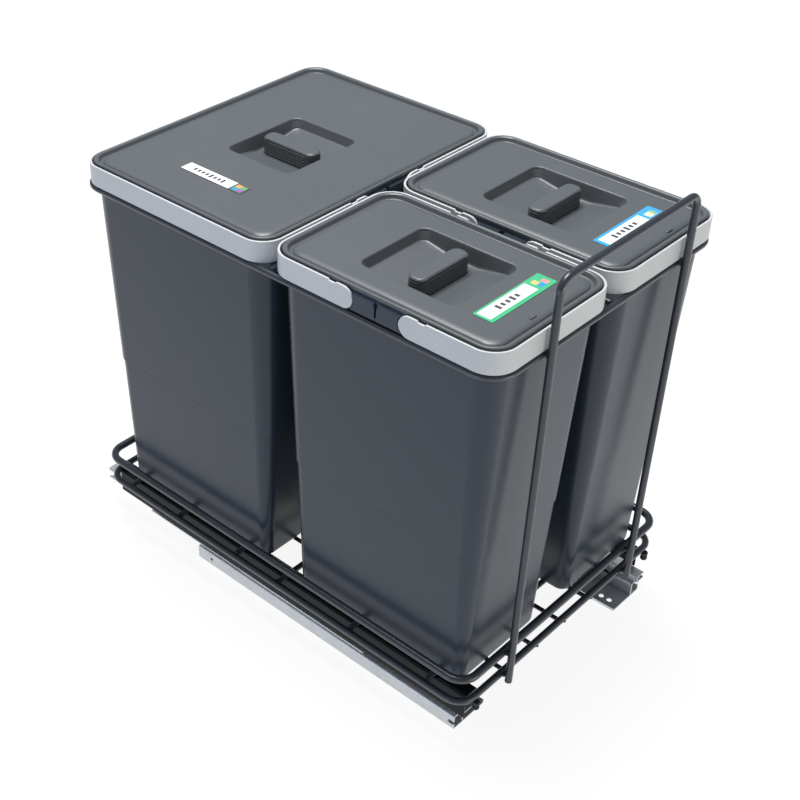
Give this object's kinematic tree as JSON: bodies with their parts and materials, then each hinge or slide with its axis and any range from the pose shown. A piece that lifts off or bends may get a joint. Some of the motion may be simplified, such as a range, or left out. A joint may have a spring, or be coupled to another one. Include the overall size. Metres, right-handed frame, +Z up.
{
  "type": "pull-out waste sorting bin unit",
  "caption": "Pull-out sorting unit: one wide and two narrow lidded bins with swing-up handles in a wire carriage on full-extension cabinet-floor runners.",
  "frame": {"origin": "on the cabinet floor, under the centre of the closed unit's bounding box", "axes": "+X to the right seen from the front, +Y from the front hoop to the back of the cabinet, +Z up"},
  "size_m": [0.3256, 0.5218, 0.4829],
  "materials": {
    "coated_wire": "anthracite powder coat, satin",
    "coated_sheet": "anthracite powder coat, satin",
    "zinc_sheet": "zinc plated sheet",
    "bin_plastic": "dark grey moulded, fine satin grain",
    "lid_plastic": "dark grey moulded, fine satin grain",
    "handle_plastic": "light grey moulded, satin",
    "black_rubber": "matt",
    "label_rear": "coated film, pale grey",
    "label_left": "coated film, white with a green end",
    "label_right": "coated film, white with a blue end"
  },
  "bodies": {
    "cabinet_fixing": {"cabinet_member_left": "zinc_sheet", "cabinet_member_right": "zinc_sheet"},
    "carriage": {"drawer_member_left": "zinc_sheet", "drawer_member_right": "zinc_sheet", "rail_left": "coated_sheet", "rail_right": "coated_sheet", "base_loop_lower": "coated_wire", "base_loop_upper": "coated_wire", "rim_loop": "coated_wire", "rim_cross_wire": "coated_wire", "rim_middle_wire": "coated_wire", "front_hoop": "coated_wire", "rear_upright_left": "coated_wire", "rear_upright_right": "coated_wire", "buffer_left": "black_rubber", "buffer_right": "black_rubber", "floor_wire_long_1": "coated_wire", "floor_wire_long_2": "coated_wire", "floor_wire_long_3": "coated_wire", "floor_wire_long_4": "coated_wire", "floor_wire_long_5": "coated_wire", "floor_wire_cross_1": "coated_wire", "floor_wire_cross_2": "coated_wire", "floor_wire_cross_3": "coated_wire", "floor_wire_cross_4": "coated_wire", "floor_wire_cross_5": "coated_wire", "floor_wire_cross_6": "coated_wire"},
    "middle_left": {"runner_middle_left": "zinc_sheet"},
    "cage_left": {"ball_cage_left": "zinc_sheet"},
    "middle_right": {"runner_middle_right": "zinc_sheet"},
    "cage_right": {"ball_cage_right": "zinc_sheet"},
    "bin_rear": {"bin_body_rear": "bin_plastic"},
    "cover_rear": {"lid_rear": "lid_plastic", "grip_rear": "lid_plastic", "label_rear": "label_rear"},
    "handle_rear_left": {"handle_rear_left": "handle_plastic"},
    "handle_rear_right": {"handle_rear_right": "handle_plastic"},
    "bin_left": {"bin_body_left": "bin_plastic"},
    "cover_left": {"lid_left": "lid_plastic", "grip_left": "lid_plastic", "label_left": "label_left"},
    "handle_left_front": {"handle_left_front": "handle_plastic"},
    "handle_left_back": {"handle_left_back": "handle_plastic"},
    "bin_right": {"bin_body_right": "bin_plastic"},
    "cover_right": {"lid_right": "lid_plastic", "grip_right": "lid_plastic", "label_right": "label_right"},
    "handle_right_front": {"handle_right_front": "handle_plastic"},
    "handle_right_back": {"handle_right_back": "handle_plastic"}
  },
  "joints": [
    {"name": "carriage_slide", "type": "slide", "parent": "cabinet_fixing", "child": "carriage", "axis": [0, -1, 0], "range_m": [0, 0.4]},
    {"name": "middle_slide_left", "type": "slide", "parent": "cabinet_fixing", "child": "middle_left", "axis": [0, -1, 0], "range_m": [0, 0.2]},
    {"name": "cage_slide_left", "type": "slide", "parent": "cabinet_fixing", "child": "cage_left", "axis": [0, -1, 0], "range_m": [0, 0.1]},
    {"name": "middle_slide_right", "type": "slide", "parent": "cabinet_fixing", "child": "middle_right", "axis": [0, -1, 0], "range_m": [0, 0.2]},
    {"name": "cage_slide_right", "type": "slide", "parent": "cabinet_fixing", "child": "cage_right", "axis": [0, -1, 0], "range_m": [0, 0.1]},
    {"name": "bin_lift_rear", "type": "slide", "parent": "carriage", "child": "bin_rear", "axis": [0, 0, 1], "range_m": [0, 0.44]},
    {"name": "lid_lift_rear", "type": "slide", "parent": "bin_rear", "child": "cover_rear", "axis": [0, 0, 1], "range_m": [0, 0.045]},
    {"name": "handle_rear_left_pivot", "type": "hinge", "parent": "bin_rear", "child": "handle_rear_left", "pos_m": [-0.0345, 0.11435, 0.4257], "axis": [0, 1, 0], "range_deg": [0, 100]},
    {"name": "handle_rear_right_pivot", "type": "hinge", "parent": "bin_rear", "child": "handle_rear_right", "pos_m": [0.0345, 0.11435, 0.4257], "axis": [0, -1, 0], "range_deg": [0, 100]},
    {"name": "bin_lift_left", "type": "slide", "parent": "carriage", "child": "bin_left", "axis": [0, 0, 1], "range_m": [0, 0.44]},
    {"name": "lid_lift_left", "type": "slide", "parent": "bin_left", "child": "cover_left", "axis": [0, 0, 1], "range_m": [0, 0.045]},
    {"name": "handle_left_front_pivot", "type": "hinge", "parent": "bin_left", "child": "handle_left_front", "pos_m": [-0.08213, -0.16535, 0.4257], "axis": [-1, 0, 0], "range_deg": [0, 105]},
    {"name": "handle_left_back_pivot", "type": "hinge", "parent": "bin_left", "child": "handle_left_back", "pos_m": [-0.08213, -0.09635, 0.4257], "axis": [1, 0, 0], "range_deg": [0, 105]},
    {"name": "bin_lift_right", "type": "slide", "parent": "carriage", "child": "bin_right", "axis": [0, 0, 1], "range_m": [0, 0.44]},
    {"name": "lid_lift_right", "type": "slide", "parent": "bin_right", "child": "cover_right", "axis": [0, 0, 1], "range_m": [0, 0.045]},
    {"name": "handle_right_front_pivot", "type": "hinge", "parent": "bin_right", "child": "handle_right_front", "pos_m": [0.08213, -0.16535, 0.4257], "axis": [-1, 0, 0], "range_deg": [0, 105]},
    {"name": "handle_right_back_pivot", "type": "hinge", "parent": "bin_right", "child": "handle_right_back", "pos_m": [0.08213, -0.09635, 0.4257], "axis": [1, 0, 0], "range_deg": [0, 105]}
  ],
  "couplings": [
    {"joint": "middle_slide_left", "follows": "carriage_slide", "ratio": 0.5},
    {"joint": "cage_slide_left", "follows": "carriage_slide", "ratio": 0.25},
    {"joint": "middle_slide_right", "follows": "carriage_slide", "ratio": 0.5},
    {"joint": "cage_slide_right", "follows": "carriage_slide", "ratio": 0.25}
  ]
}
